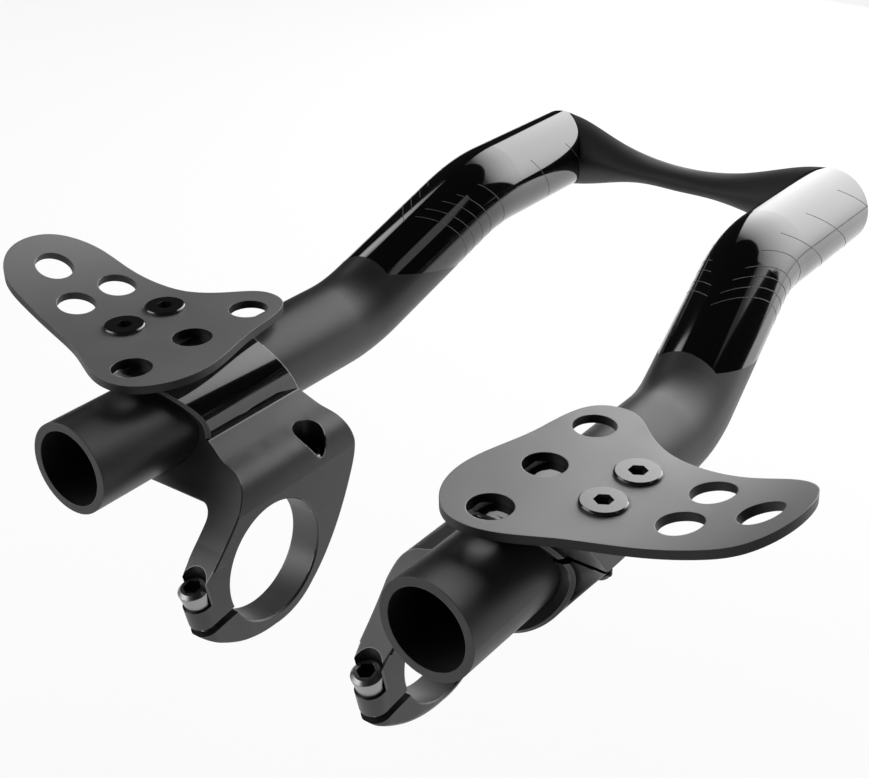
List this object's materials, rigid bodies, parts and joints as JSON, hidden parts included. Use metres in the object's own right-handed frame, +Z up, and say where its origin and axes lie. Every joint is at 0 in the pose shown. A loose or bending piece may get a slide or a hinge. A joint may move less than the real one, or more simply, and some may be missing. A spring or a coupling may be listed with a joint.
{
  "type": "aero handlebar extension",
  "caption": "Clip-on aero extension: S-bent tubes joined by a front bridge, each in a handlebar clamp that carries an armrest plate.",
  "frame": {"origin": "on the axis of the handlebar, midway between the two clamps", "axes": "+X to the rider's right along the handlebar, +Y forwards along the rear of the tubes, +Z up"},
  "size_m": [0.2242, 0.2022, 0.0866],
  "materials": {
    "tube_aluminium": "black anodised at the rear, gloss lacquer over the front half",
    "bridge_moulding": "dark satin",
    "clamp_aluminium": "black anodised satin",
    "plate_aluminium": "black anodised satin",
    "armrest_bolt_steel": "black oxide satin",
    "clamp_bolt_steel": "black with bright worn edges"
  },
  "bodies": {
    "root": {"right_extension_tube": "tube_aluminium", "left_extension_tube": "tube_aluminium", "bridge": "bridge_moulding", "right_clamp_body": "clamp_aluminium", "left_clamp_body": "clamp_aluminium", "right_bar_clamp_cap": "clamp_aluminium", "left_bar_clamp_cap": "clamp_aluminium", "right_armrest_plate": "plate_aluminium", "left_armrest_plate": "plate_aluminium", "right_armrest_bolt_front": "armrest_bolt_steel", "left_armrest_bolt_front": "armrest_bolt_steel", "right_armrest_bolt_rear": "armrest_bolt_steel", "left_armrest_bolt_rear": "armrest_bolt_steel", "right_clamp_bolt_front": "clamp_bolt_steel", "left_clamp_bolt_front": "clamp_bolt_steel", "right_clamp_bolt_rear": "clamp_bolt_steel", "left_clamp_bolt_rear": "clamp_bolt_steel"}
  },
  "joints": []
}
